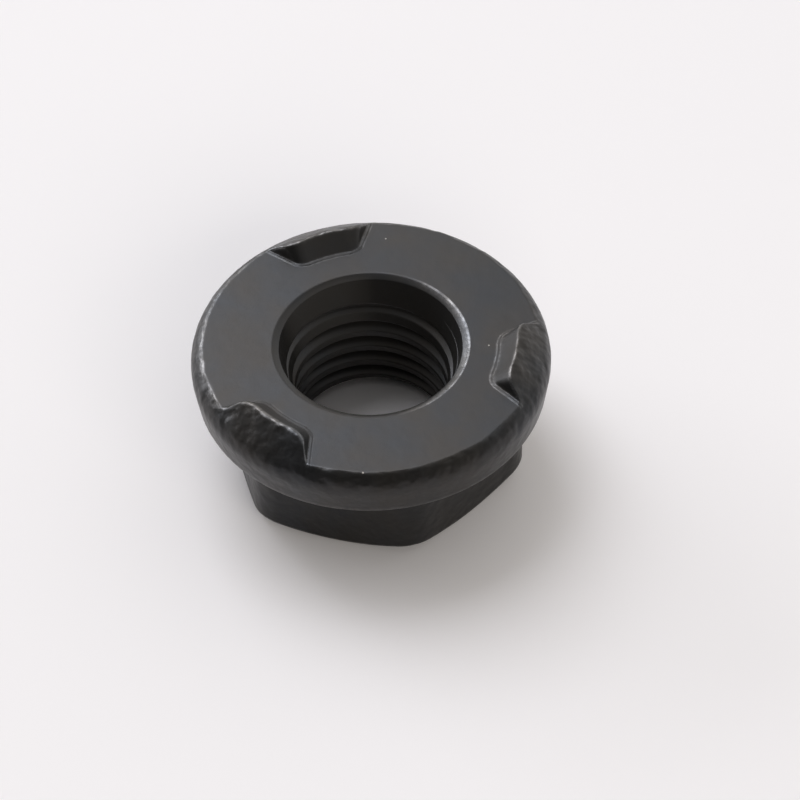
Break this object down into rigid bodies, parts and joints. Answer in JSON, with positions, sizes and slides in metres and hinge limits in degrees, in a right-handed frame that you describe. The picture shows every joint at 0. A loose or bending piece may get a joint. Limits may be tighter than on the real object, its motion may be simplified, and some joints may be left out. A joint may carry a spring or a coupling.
{
  "type": "flanged weld nut",
  "caption": "Black flanged weld nut: round flange with raised weld projections on its coined face, over a hexagon, with a threaded hole through both.",
  "frame": {"origin": "centre of the hexagon's end face, on the thread's axis", "axes": "+Z along the thread's axis, out of the flange's weld face; the hexagon's corners lie on X and every 60 degrees from it"},
  "size_m": [0.0206, 0.0206, 0.0094],
  "materials": {
    "black_steel": "black oxide over cold forged steel: satin on the coined face, rougher on the forged shoulder, worn bright along sharp edges"
  },
  "bodies": {
    "root": {"weld_nut": "black_steel"}
  },
  "joints": []
}
